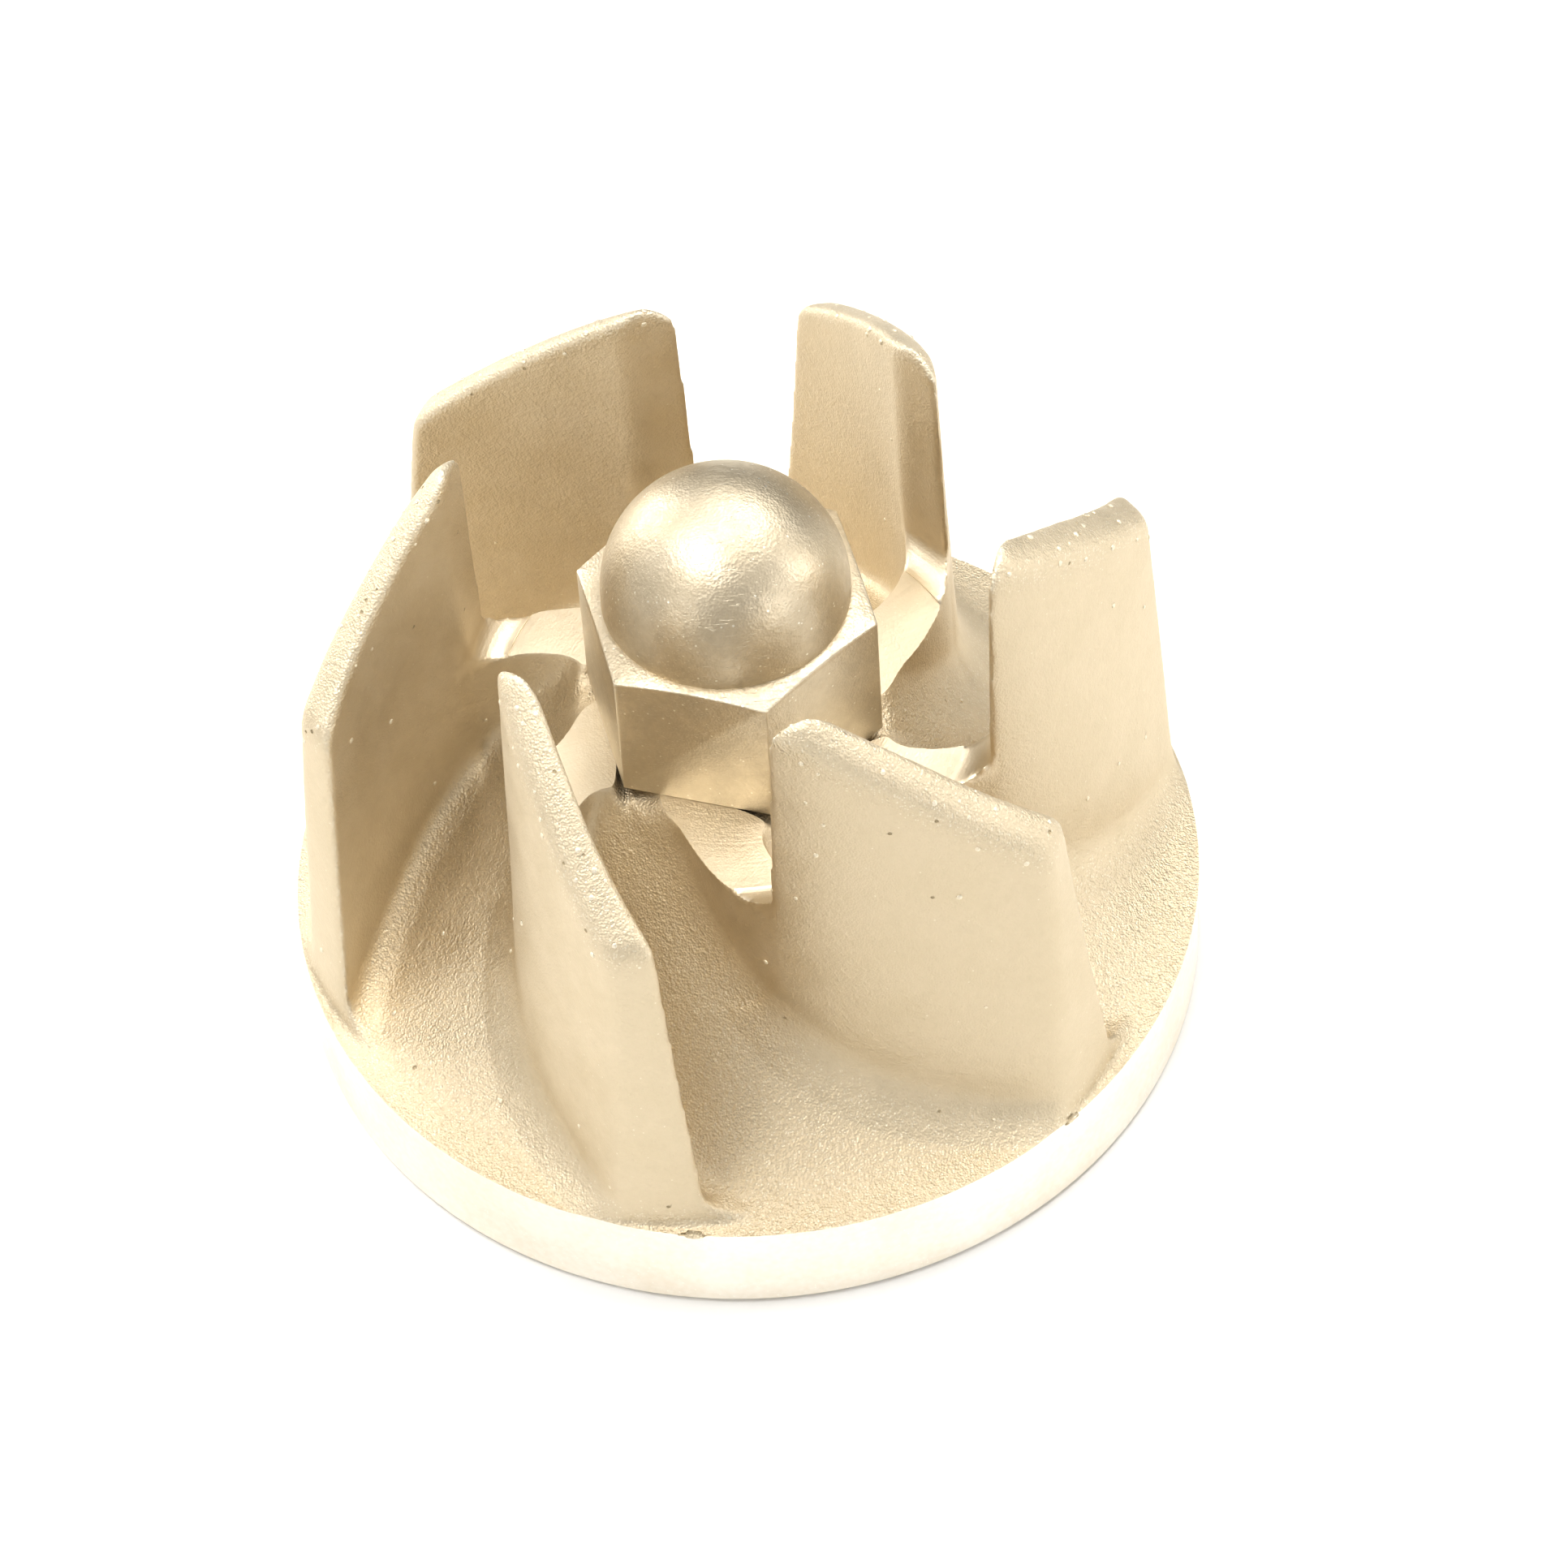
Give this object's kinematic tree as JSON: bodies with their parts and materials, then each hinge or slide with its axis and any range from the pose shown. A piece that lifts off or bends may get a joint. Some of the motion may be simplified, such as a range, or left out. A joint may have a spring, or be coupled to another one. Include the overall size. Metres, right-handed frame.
{
  "type": "pump impeller with cap nut",
  "caption": "Semi-open mixed-flow pump impeller with tall swept vanes on a round back plate, held by a domed hexagon cap nut.",
  "frame": {"origin": "centre of the flat back face, on the shaft axis", "axes": "+Z along the shaft axis from the back face towards the nut and the eye, +X to the right of the picture's view, +Y away from its camera"},
  "size_m": [0.084, 0.084, 0.0616],
  "materials": {
    "cast_steel": "bead-blasted investment cast stainless steel, warm champagne grey, fine even grain",
    "nut_steel": "blasted stainless steel, smoother and brighter on the dome"
  },
  "bodies": {
    "root": {"impeller_casting": "cast_steel", "cap_nut": "nut_steel"}
  },
  "joints": []
}
